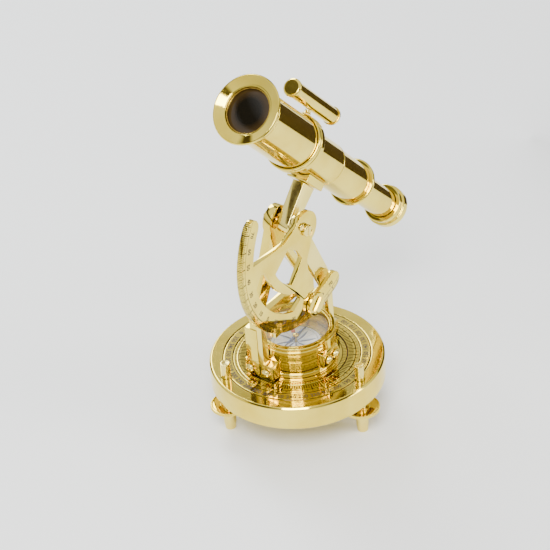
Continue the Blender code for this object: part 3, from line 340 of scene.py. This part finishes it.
def make_finishes():
    """Every material of the instrument, by name."""
    upright = Matrix()
    made = {
        "plain": brass("polished_brass", GOLD, DEEP, 0.085),
        "cast": brass("cast_brass", CREAM, STRAW, 0.13),
        "bored": brass("turned_inside", BRONZE, UMBER, 0.22),
        "turned": brass("turned_brass", GOLD, DEEP, 0.075, upright, 0.0000003),
        "tube": brass("drawn_brass", GOLD, DEEP, 0.07, OPTICAL, 0.0000003),
        "pale_turned": brass("pale_turned_brass", CREAM, STRAW, 0.11, upright, 0.0000004),
        "level": brass("level_brass", GOLD, DEEP, 0.08, LEVEL, 0.0000003),
        "base": engraved("engraved_base", GOLD, DEEP, 0.08, upright, (0, 1),
                         [(28.8, 0.45), (33.6, 0.25), (36.4, 0.35), (42.1, 0.35)],
                         [(2.5, 0.24, 29.5, 32.3), (10, 0.06, 29.5, 33.4), (5, 0.06, 33.8, 35.2)]),
        "flange": engraved("engraved_flange", GOLD, DEEP, 0.08, upright, (0, 1), [(26.0, 0.2)],
                           [(3, 0.14, 26.2, 28.2)]),
        "arc": engraved("engraved_arc", GOLD, DEEP, 0.1, TELESCOPE, (2, 0), [(56.3, 0.16)],
                        [(1, 0.17, 58.0, 60.5), (5, 0.05, 57.2, 60.5), (10, 0.03, 56.3, 60.5)]),
        "dial": engraved("engraved_dial", GOLD, DEEP, 0.13, upright, (0, 1), [(15.0, 0.07), (18.5, 0.07)],
                         [(2, 0.12, 17.2, 18.5), (10, 0.035, 16.0, 18.5)]),
        "ink": Finish("scale_ink", (0.04, 0.025, 0.01), 0.6, 0.0),
        "steel": brass("blued_needle", (0.04, 0.06, 0.16), (0.02, 0.03, 0.08), 0.22),
        "card": card_finish(),
        "glass": clear_finish("compass_crystal", 0.1),
        "vial": vial_finish(),
        "lens": lens_finish(),
    }
    ink = made["ink"]
    ink.colour_between(ink.noise(900, 2), (0.025, 0.014, 0.005), (0.06, 0.035, 0.012))
    return made


def card_finish():
    """Printed dial: pale blue-white card, dark points of a star, fine spokes and a red north mark."""
    finish = Finish("printed_card", (0.86, 0.89, 0.93), 0.45, 0.0)
    x, y, _ = finish.axes()
    radius = (x * x + y * y).maths("SQRT")
    angle = x.maths("ARCTAN2", y) * (180 / math.pi)
    tint = finish.noise(260, 3)
    paper = finish.mix(tint, (0.84, 0.88, 0.94), (0.93, 0.94, 0.95))
    spokes = ticks(finish, angle, radius, 22.5, 0.02, 2 * MM, 12.5 * MM)
    marks = ticks(finish, angle, radius, 5, 0.09, 12.6 * MM, 13.8 * MM)
    circle = abs(radius - 12.5 * MM) < 0.1 * MM
    point = 0.5 - abs((angle / 45 + 0.5).maths("FRACT") - 0.5)
    star = (radius < point * 22 * MM + 1.0 * MM) * (radius < 11.5 * MM)
    half = (angle / 45 + 0.5).maths("FRACT") > 0.5
    ink = spokes.maths("MAXIMUM", marks).maths("MAXIMUM", circle).maths("MAXIMUM", star * half)
    printed = finish.mix(ink, paper, (0.05, 0.09, 0.22))
    pale_star = finish.mix(star * (1 - half) * 0.6, printed, (0.45, 0.58, 0.78))
    north = (radius > 8.5 * MM) * (radius < 11.5 * MM) * (abs(angle - 45) < 7)
    red = finish.mix(north, pale_star, (0.72, 0.07, 0.04))
    finish.tree.links.new(red, finish.shader.inputs["Base Color"])
    finish.bump(ink, 0.00002)
    return finish


def clear_finish(name, alpha):
    """Thin clear glass: nearly see-through, with a glossy face."""
    finish = Finish(name, (0.93, 0.96, 0.97), 0.02, 0.0, alpha=alpha, coat_weight=1.0)
    smear = finish.noise(160, 3)
    finish.roughness(0.015 + smear * 0.03)
    return finish


def vial_finish():
    """Spirit vial: yellow-green liquid with a bubble in the middle between two lines."""
    finish = Finish("spirit_vial", (0.55, 0.75, 0.2), 0.05, 0.0, coat_weight=1.0)
    _, _, along = finish.axes(LEVEL)
    offset = abs(along - 26 * MM)
    lines = abs(offset - 5 * MM) < 0.25 * MM
    bubble = offset < 4 * MM
    liquid = finish.mix(bubble, (0.42, 0.62, 0.08), (0.78, 0.88, 0.5))
    finish.tree.links.new(finish.mix(lines, liquid, (0.03, 0.03, 0.03)), finish.shader.inputs["Base Color"])
    return finish


def lens_finish():
    """Dark objective: almost black in the middle and brown towards its edge, under a hard gloss."""
    finish = Finish("dark_lens", (0.02, 0.014, 0.008), 0.06, 0.0,
                    coat_weight=0.1, coat_roughness=0.02, specular_ior_level=0.25)
    x, y, _ = finish.axes(OPTICAL)
    radius = (x * x + y * y).maths("SQRT")
    rim = ((radius / MM - 7) / 6).maths("MAXIMUM", 0.0)
    finish.colour_between(rim * (0.7 + finish.noise(200, 2) * 0.5), (0.006, 0.005, 0.003),
                          (0.045, 0.026, 0.008))
    return finish


# ---------------------------------------------------------------- shapes
def softened(points, radius, closed, steps=3):
    """Profile with each corner replaced by a short curve: a quadratic between two points that lie
    the radius away from the corner, or half the side away where the side is short."""
    points = np.asarray(points, dtype=float)
    count = len(points)
    result = []
    for i in range(count):
        here = points[i]
        if not closed and i in (0, count - 1):
            result.append(here)
            continue
        before, after = points[i - 1], points[(i + 1) % count]
        to_before, to_after = before - here, after - here
        size_before, size_after = np.hypot(*to_before), np.hypot(*to_after)
        turn = np.dot(to_before, to_after) / (size_before * size_after)
        if turn < -0.94:
            result.append(here)
            continue
        start = here + to_before * min(radius / size_before, 0.45)
        end = here + to_after * min(radius / size_after, 0.45)
        for share in np.linspace(0, 1, steps + 1):
            result.append((1 - share) ** 2 * start + 2 * share * (1 - share) * here + share ** 2 * end)
    return np.array(result)


def held(outline, margin=0.12):
    """Profile with points a margin from both ends of each straight stretch, so flats shade flat."""
    result = [outline[0]]
    for start, end in zip(outline[:-1], outline[1:]):
        side = end - start
        length = np.hypot(*side)
        if length > 4 * margin:
            result += [start + side * margin / length, end - side * margin / length]
        result.append(end)
    return np.array(result)


def finish_object(name, mesh, finish, body, nodes):
    """Link a mesh as a piece with its finish and body, and hide the CAD nodes it stands for."""
    mesh.materials.clear()
    mesh.materials.append(finish.material)
    piece = bpy.data.objects.new(name, mesh)
    bpy.context.scene.collection.objects.link(piece)
    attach(piece, body)
    if nodes:
        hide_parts(*nodes)
    return piece


def merged(mesh, smooth_angle):
    """Close seams and poles, point the faces outwards, and shade round walls smooth."""
    shape = bmesh.new()
    shape.from_mesh(mesh)
    bmesh.ops.remove_doubles(shape, verts=shape.verts, dist=1e-7)
    bmesh.ops.dissolve_degenerate(shape, edges=shape.edges, dist=1e-7)
    bmesh.ops.recalc_face_normals(shape, faces=shape.faces)
    shape.to_mesh(mesh)
    shape.free()
    mesh.shade_smooth()
    mesh.set_sharp_from_angle(angle=math.radians(smooth_angle))
    return mesh


def turned_mesh(name, profile, place, closed, soft=0.25, segments=128, ripple=None):
    """Surface of a profile turned about an axis: x = r cos a, y = r sin a, z = height, where
    (r, height) runs along the profile in millimetres and a goes once round."""
    outline = softened(profile, soft, closed)
    if closed:
        outline = np.vstack([outline, outline[:1]])
    outline = held(outline)
    angle = np.linspace(0, math.tau, segments + 1)
    radius = np.repeat(outline[:, :1], segments + 1, axis=1)
    if ripple is not None:
        radius = ripple(radius, angle[None, :], outline[:, 1:])
    height = np.repeat(outline[:, 1:], segments + 1, axis=1)
    grid = np.stack([radius * np.cos(angle), radius * np.sin(angle), height], axis=-1) * MM
    rows, columns = grid.shape[:2]
    index = np.arange(rows * columns).reshape(rows, columns)
    faces = np.stack([index[:-1, :-1], index[:-1, 1:], index[1:, 1:], index[1:, :-1]], axis=-1)
    mesh = bpy.data.meshes.new(name)
    mesh.from_pydata(grid.reshape(-1, 3).tolist(), [], faces.reshape(-1, 4).tolist())
    merged(mesh, 38)
    mesh.transform(place)
    return mesh


def turned(name, nodes, profile, place, finish, body, slot, closed=False, **options):
    """Turned piece that stands for CAD nodes."""
    mesh = turned_mesh(name, profile, place, closed, **options)
    return finish_object(name, mesh, finish, body, nodes)


def cut_away(piece, tool_mesh):
    """Boolean difference worked out at once, so that no cutter stays in the scene."""
    tool = bpy.data.objects.new("tool", tool_mesh)
    bpy.context.scene.collection.objects.link(tool)
    step = piece.modifiers.new("cut", "BOOLEAN")
    step.object = tool
    step.operation = "DIFFERENCE"
    step.solver = "EXACT"
    bpy.context.view_layer.update()
    result = bpy.data.meshes.new_from_object(piece.evaluated_get(bpy.context.evaluated_depsgraph_get()))
    piece.modifiers.clear()
    piece.data = result
    result.set_sharp_from_angle(angle=math.radians(38))
    bpy.data.objects.remove(tool, do_unlink=True)


def box_mesh(size, place):
    """Cutting box of a size in millimetres, centred on a place."""
    mesh = bpy.data.meshes.new("box")
    shape = bmesh.new()
    bmesh.ops.create_cube(shape, size=1)
    bmesh.ops.scale(shape, vec=Vector(size) * MM, verts=shape.verts)
    shape.to_mesh(mesh)
    shape.free()
    mesh.transform(place)
    return mesh


def dressed_copy(name, node, finish, body, width):
    """Merged copy of a CAD plate or block with its edges rounded."""
    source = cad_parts[node]
    mesh = source.data.copy()
    shape = bmesh.new()
    shape.from_mesh(mesh)
    bmesh.ops.remove_doubles(shape, verts=shape.verts, dist=2e-6)
    bmesh.ops.dissolve_limit(shape, angle_limit=math.radians(1), verts=shape.verts, edges=shape.edges)
    shape.to_mesh(mesh)
    shape.free()
    mesh.shade_smooth()
    piece = finish_object(name, mesh, finish, body, [node])
    bevel = piece.modifiers.new("rounded_edges", "BEVEL")
    bevel.width = width * MM
    bevel.segments = 3
    bevel.limit_method = "ANGLE"
    bevel.angle_limit = math.radians(40)
    bevel.harden_normals = True
    return piece


def repaint(node, finish):
    """Give a CAD node that stays in view its finish."""
    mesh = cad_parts[node].data
    mesh.materials.clear()
    mesh.materials.append(finish.material)


# ---------------------------------------------------------------- levelling base
def screw_place(angle):
    """Place of a levelling screw's axis, an angle in degrees round the base."""
    return Matrix.Rotation(math.radians(angle), 4, "Z") @ Matrix.Translation((SCREW_CIRCLE, 0, 0))


def make_base(finishes):
    """Base dish with two fine grooves, a raised ring and its screw holes."""
    profile = [(28.7, 15), (33.8, 15), (34.0, 14.9), (36.2, 14.9), (36.4, 14.65), (36.7, 15), (41.8, 15),
               (42.1, 14.6), (42.5, 15), (49.0, 15), (50, 14.0), (50, 1.0), (49.2, 0), (10, 0), (10, 5.5),
               (6.8, 5.5), (6.8, 11), (28.7, 11)]
    base = turned("base_dish_turned", ["base_dish"], profile, Matrix(), finishes["base"], "base",
                  "polished_brass", closed=True, segments=192)
    for angle in SCREW_ANGLES.values():
        turn = screw_place(angle) @ Matrix.Translation((0, 0, 7 * MM))
        hole = turned_mesh("hole", [(0, 20), (3.05, 20), (3.05, -20), (0, -20)], turn, False, soft=0.01,
                           segments=48)
        cut_away(base, hole)
    turned("cover_plate", ["spindle_cover"], [(0, 1.2), (9.7, 1.2), (9.7, 0), (0, 0)], Matrix(),
           finishes["turned"], "base", "polished_brass", soft=0.15)
    repaint("spindle_bush", finishes["bored"])


def knurl(radius, angle, height):
    """Knurled rim: the outer radius falls and rises 72 times round."""
    return radius - np.where(radius > 10.1, 0.28 * np.abs(np.sin(36 * angle)), 0.0)


def make_levelling_screws(finishes):
    """Screws with threads where they enter the base, knurled wheels and feet."""
    for name, angle in SCREW_ANGLES.items():
        place = screw_place(angle)
        thread = []
        for i in range(7):
            height = -0.4 - 0.5 * i
            thread += [(2.75, height), (2.45, height - 0.25)]
        profile = [(0, 24.5), (1.6, 24.55), (2.0, 24.8), (2.75, 24.8), (2.75, 0)] + thread + [
            (2.75, -4.0), (2.75, -6), (1.9, -6), (1.9, -14.3), (0, -14.3)]
        turned("screw_post_" + name, ["levelling_screw_" + name], profile, place, finishes["pale_turned"],
               "screw_" + name, "pale_brass", soft=0.18, segments=48)
        wheel = [(3.05, -4.0), (4.6, -4.0), (4.9, -4.25), (9.2, -4.25), (9.6, -4.0), (10.5, -4.0),
                 (10.5, -6.0), (9.6, -6.0), (9.2, -5.75), (4.9, -5.75), (4.6, -6.0), (3.05, -6.0)]
        turned("knurled_wheel_" + name, ["thumb_wheel_" + name], wheel, place, finishes["plain"],
               "screw_" + name, "polished_brass", closed=True, soft=0.15, segments=432, ripple=knurl)
        foot = [(0, -14.6), (2.2, -14.6), (2.2, -6.3), (3.6, -6.3), (3.6, -16.8), (3.35, -18.5), (3.1, -21),
                (0, -21)]
        turned("turned_foot_" + name, ["levelling_foot_" + name], foot, place, finishes["pale_turned"],
               "foot_" + name, "pale_brass", soft=0.3, segments=64)


# ---------------------------------------------------------------- compass
def make_compass(finishes):
    """Flange, bowl, dial ring, card, needle, glass and bezel."""
    turned("flange_turned", ["turning_flange"],
           [(0, 15), (23.6, 15), (24.0, 14.85), (28.4, 14.85), (28.4, 11.3), (0, 11.3)], Matrix(),
           finishes["flange"], "alidade", "polished_brass", segments=192)
    bowl = [(0, 18.3), (19.3, 18.3), (19.3, 31.7), (20.7, 31.7), (20.7, 35.7), (22.7, 35.7), (22.7, 33.6),
            (22.45, 33.4), (22.45, 33.1), (22.7, 32.9), (22.7, 18.2), (22.4, 18.0), (22.4, 17.6),
            (22.7, 17.4), (22.7, 15.3), (0, 15.3)]
    turned("bowl_turned", ["compass_bowl"], bowl, Matrix(), finishes["turned"], "alidade", "polished_brass",
           segments=160, soft=0.2)
    turned("bezel_turned", ["glass_bezel"],
           [(18.8, 33.8), (18.8, 34.6), (19.4, 35.5), (20.4, 35.5), (20.4, 33.8)], Matrix(),
           finishes["turned"], "alidade", "polished_brass", closed=True, segments=160)
    turned("crystal", ["compass_glass"], [(0, 33.5), (20.4, 33.5), (20.4, 32.0), (0, 32.0)], Matrix(),
           finishes["glass"], "alidade", "clear_glass", segments=128)
    turned("dial_ring_turned", ["dial_ring"],
           [(14.5, 25.0), (19.0, 25.0), (19.0, 18.6), (12.7, 18.6), (12.7, 23.3), (14.5, 23.3)], Matrix(),
           finishes["dial"], "alidade", "polished_brass", closed=True, soft=0.15)
    turned("card_disc", ["compass_card"], [(1.1, 24.1), (14.2, 24.1), (14.2, 23.6), (1.1, 23.6)], Matrix(),
           finishes["card"], "alidade", "dial_card", closed=True, soft=0.05)
    turned("pivot_post", ["needle_pivot"],
           [(0, 27.2), (0.8, 26.4), (0.8, 21.2), (1.4, 20.6), (3, 20.6), (3, 18.6), (0, 18.6)], Matrix(),
           finishes["bored"], "alidade", "turned_brass", segments=48)
    dressed_copy("needle_blade", "compass_needle", finishes["steel"], "needle", 0.08)
    turned("needle_dome", ["needle_cap"], [(0, 29.7), (0.9, 29.55), (1.6, 29.1), (1.9, 28.3), (0, 28.3)],
           Matrix(), finishes["plain"], "needle", "polished_brass", segments=48)


def slotted_head(name, node, radius, low, high, place, finish, body):
    """Cheese-headed screw with a driver slot across it."""
    profile = [(0, high), (radius * 0.8, high), (radius, high - 0.35), (radius, low), (0, low)]
    piece = turned(name, [node], profile, place, finish, body, "pale_brass", segments=64, soft=0.15)
    cut_away(piece, box_mesh((3 * radius, 0.55, 0.8), place @ Matrix.Translation((0, 0, high * MM))
                             @ Matrix.Rotation(0.6, 4, "Z")))
    return piece


def make_bowl_screws(finishes):
    """Round-headed screws of the side lug and the foot pads, each with a small collar."""
    dome = [(0, 2.7), (0.9, 2.62), (1.7, 2.3), (2.3, 1.8), (2.6, 1.1), (2.45, 0.7), (2.0, 0.5), (2.0, 0.3),
            (0, 0.3)]
    places = {}
    for node in ("lug_screw_1", "lug_screw_2"):
        low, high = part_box(node)
        face = Vector(((low[0] + high[0]) / 2, high[1] + 0.3 * MM, (low[2] + high[2]) / 2))
        places[node] = Matrix.Translation(face) @ FRONTWARD
    for node, side in (("foot_screw_near_left", -1), ("foot_screw_near_right", 1),
                       ("foot_screw_far_left", -1), ("foot_screw_far_right", 1)):
        low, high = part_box(node)
        face = high[0] + 0.3 * MM if side < 0 else low[0] - 0.3 * MM
        places[node] = (Matrix.Translation((face, (low[1] + high[1]) / 2, (low[2] + high[2]) / 2))
                        @ Matrix.Rotation(math.radians(side * 90), 4, "Y"))
    for node, place in places.items():
        turned(node + "_head", [node], dome, place, finishes["cast"], "alidade", "pale_brass", segments=48,
               soft=0.2)


# ---------------------------------------------------------------- standards, arc and trunnion
def make_frames(finishes):
    """Standards, lug, stem, saddle and arc with rounded edges."""
    dressed_copy("near_standard_cast", "near_standard", finishes["cast"], "alidade", 0.5)
    dressed_copy("far_standard_cast", "far_standard", finishes["plain"], "alidade", 0.6)
    dressed_copy("side_lug_filed", "side_lug", finishes["plain"], "alidade", 0.35)
    dressed_copy("stem_filed", "stem_bar", finishes["cast"], "telescope", 0.6)
    dressed_copy("saddle_filed", "saddle_block", finishes["plain"], "telescope", 0.6)
    dressed_copy("arc_plate", "vertical_arc", finishes["arc"], "telescope", 0.35)
    dressed_copy("thumb_screw", "clamp_screw", finishes["plain"], "clamp", 0.4)
    dressed_copy("end_nut", "trunnion_nut", finishes["plain"], "telescope", 0.4)
    across = TELESCOPE @ FRONTWARD
    turned("arc_boss_turned", ["arc_boss"], [(2.5, 8.9), (8.5, 8.9), (8.5, 7.6), (2.5, 7.6)], across,
           finishes["plain"], "telescope", "polished_brass", closed=True)
    turned("axle_turned", ["trunnion_axle"], [(0, 12.2), (2.2, 12.2), (2.2, -13.1), (0, -13.1)], across,
           finishes["bored"], "telescope", "turned_brass", segments=64)
    slotted_head("hub_screw_head", "hub_screw", 3.4, 12.5, 14.3, across, finishes["cast"], "telescope")
    for index, side in ((1, -1), (2, 1)):
        place = TELESCOPE @ Matrix.Translation((0, 0, side * 5.6 * MM)) @ FRONTWARD
        piece = turned("arc_screw_head_%d" % index, ["arc_screw_%d" % index],
                       [(0, 13.5), (1.2, 13.45), (2.0, 13.0), (2.0, 12.5), (1, 12.5), (1, 9.2), (0, 9.2)],
                       place, finishes["cast"], "telescope", "pale_brass", segments=48, soft=0.15)
        cut_away(piece, box_mesh((6, 0.45, 0.7), place @ Matrix.Translation((0, 0, 13.5 * MM))))


# ---------------------------------------------------------------- telescope
def make_telescope(finishes):
    """Tubes, rings, bell, lens, draw tube and eyepiece, turned about the optical axis."""
    tube, bored = finishes["tube"], finishes["bored"]
    place = {"place": OPTICAL, "finish": tube, "body": "telescope", "slot": "polished_brass",
             "closed": True}
    turned("sleeve_turned", ["telescope_sleeve"],
           [(12, 22.7), (12.8, 22.7), (12.8, -10.9), (12.55, -11.1), (12.55, -11.4), (12.8, -11.6),
            (12.8, -12.5), (12, -12.5)], **place)
    turned("rear_tube_turned", ["rear_tube"], [(10.2, 23), (11.7, 23), (11.7, -47.7), (10.2, -47.7)],
           **place)
    turned("main_ring_turned", ["main_ring"],
           [(15.8, 30), (16.5, 30), (17, 29.4), (17, 28.2), (16.5, 27.8), (16.5, 27.3), (17, 26.9),
            (17, 23.6), (16.4, 23), (12.0, 23), (12.0, 23.8), (15.8, 23.8)], **place)
    turned("barrel_turned", ["main_barrel"], [(13.9, 77.4), (15.5, 77.4), (15.5, 24.1), (13.9, 24.1)],
           **place)
    flare = [(15.5 + 4.5 * share ** 2.2, 77.7 + 8.5 * share) for share in np.linspace(1, 0, 22)]
    bell = [(13.3, 85.0), (13.9, 85.0), (14.4, 85.25), (19.2, 87)] + flare + [
        (13.6, 77.7), (13.6, 69.7), (12.2, 69.7), (12.2, 79.7), (13.3, 79.7)]
    turned("bell_turned", ["bell_hood"], bell, **place)
    turned("lens_ring_turned", ["lens_ring"],
           [(12.45, 84.23), (13.0, 84.23), (13.0, 82.73), (12.45, 82.73)], OPTICAL, bored,
           "telescope", "turned_brass", closed=True, soft=0.1)
    dome = [(13.0 * math.sin(a) / math.sin(1.2), 83.2 - 1.07 * (1 - math.cos(a)) / (1 - math.cos(1.2)))
            for a in np.linspace(0, 1.2, 12)]
    lens = dome + [(13.0, 80.0), (0, 80.0)]
    turned("objective_glass", ["objective_lens"], lens, OPTICAL, finishes["lens"], "telescope", "dark_lens",
           soft=0.05)
    turned("flange_ring_turned", ["flange_ring"],
           [(8.9, -48), (13.3, -48), (13.9, -48.6), (13.9, -49.8), (13.3, -50.4), (9.5, -50.4),
            (8.9, -50.1)], **place)
    place["body"] = "draw_tube"
    turned("draw_tube_turned", ["draw_tube"], [(7.4, -18.8), (8.6, -18.8), (8.6, -95.8), (7.4, -95.8)],
           **place)
    eyepiece = [(8.9, -91), (11.0, -91), (11.4, -91.4), (11.4, -93.9), (11.0, -94.3), (11.0, -95.3),
                (12.2, -95.6), (12.2, -99.8), (11.6, -100.7), (10.1, -101), (5.4, -100.2), (4.6, -99.6),
                (4.6, -98.4), (8.9, -98.4)]
    turned("eyepiece_turned", ["eyepiece"], eyepiece, **place)
    turned("eye_glass", ["eye_lens"], [(0, -96.1), (8.6, -96.1), (8.6, -98.1), (0, -98.1)], OPTICAL,
           finishes["lens"], "draw_tube", "dark_lens", soft=0.1)
    repaint("draw_tube_stop", bored)


def make_level(finishes):
    """Level: slotted tube, spirit vial, rounded caps and post."""
    level = finishes["level"]
    tube = turned("level_case", ["level_tube"], [(3.95, 50), (4.85, 50), (4.85, 2), (3.95, 2)], LEVEL,
                  level, "telescope", "polished_brass", closed=True, segments=96)
    cut_away(tube, box_mesh((10, 3.6, 26), LEVEL @ Matrix.Translation((5 * MM, 0, 26 * MM))))
    turned("spirit_tube", ["level_vial"], [(0, 49.7), (3.65, 49.7), (3.65, 2.3), (0, 2.3)], LEVEL,
           finishes["vial"], "telescope", "clear_glass", segments=64)
    turned("level_end_front", ["level_cap_front"],
           [(0, 52.3), (4.4, 52.3), (5.4, 51.6), (5.4, 50.3), (0, 50.3)], LEVEL, level, "telescope",
           "polished_brass", segments=96)
    turned("level_end_rear", ["level_cap_rear"],
           [(0, 1.7), (5.4, 1.7), (5.4, 0.4), (4.4, -0.3), (0, -0.3)], LEVEL, level, "telescope",
           "polished_brass", segments=96)
    post = OPTICAL @ Matrix.Translation((0, 0, 26.5 * MM)) @ Matrix.Rotation(math.radians(90), 4, "Y")
    turned("level_pillar", ["level_post"],
           [(0, 19.35), (2.0, 19.35), (1.7, 18.4), (2.4, 17.3), (0, 17.3)], post, finishes["cast"],
           "telescope", "pale_brass", segments=64)


# ---------------------------------------------------------------- numbers
def numeral(text, size, place):
    """Mesh of a short number lying in a place's XY plane, centred on its origin."""
    curve = bpy.data.curves.new("numeral", "FONT")
    curve.body = text
    curve.size = size * MM
    curve.align_x = "CENTER"
    curve.align_y = "CENTER"
    curve.extrude = 0.02 * MM
    curve.offset = 0.028 * size * MM
    curve.resolution_u = 2
    holder = bpy.data.objects.new("numeral", curve)
    bpy.context.scene.collection.objects.link(holder)
    bpy.context.view_layer.update()
    mesh = bpy.data.meshes.new_from_object(holder.evaluated_get(bpy.context.evaluated_depsgraph_get()))
    bpy.data.objects.remove(holder, do_unlink=True)
    mesh.transform(place)
    return mesh


def joined(name, meshes, finish, body):
    """One piece from many small meshes."""
    shape = bmesh.new()
    for mesh in meshes:
        shape.from_mesh(mesh)
    bmesh.ops.remove_doubles(shape, verts=shape.verts, dist=1e-7)
    bmesh.ops.recalc_face_normals(shape, faces=shape.faces)
    result = bpy.data.meshes.new(name)
    shape.to_mesh(result)
    shape.free()
    return finish_object(name, result, finish, body, [])


def make_numbers(finishes):
    """Degree numbers: every ten degrees on the base, and on the arc both ways from its middle."""
    on_base = []
    for degrees in range(0, 360, 10):
        turn = Matrix.Rotation(math.radians(-degrees), 4, "Z")
        place = turn @ Matrix.Translation((0, 39.3 * MM, BASE_TOP + 0.01 * MM)) @ HALF_TURN
        on_base.append(numeral(str(degrees), 3.7, place))
    joined("base_numbers", on_base, finishes["ink"], "base")
    on_arc = []
    towards = Vector((0, -1, 0))
    for degrees in range(-70, 71, 10):
        if degrees == UNDER_CLAMP:
            continue
        angle = math.radians(degrees)
        outward = ALONG * math.sin(angle) - UP * math.cos(angle)
        upward = -outward
        sideways = upward.cross(towards)
        turn = Matrix((sideways, upward, towards)).transposed().to_4x4()
        spot = TRUNNION + outward * 53.5 * MM + towards * (ARC_FACE + 0.01 * MM)
        on_arc.append(numeral(str(abs(degrees)), 3.7, Matrix.Translation(spot) @ turn))
    joined("arc_numbers", on_arc, finishes["ink"], "telescope")


FINISHES = make_finishes()
add_camera()
add_studio()
make_base(FINISHES)
make_levelling_screws(FINISHES)
make_compass(FINISHES)
make_bowl_screws(FINISHES)
make_frames(FINISHES)
make_telescope(FINISHES)
make_level(FINISHES)
make_numbers(FINISHES)
for hidden_node in ("azimuth_spindle", "spindle_washer", "spindle_nut"):
    repaint(hidden_node, FINISHES["bored"])
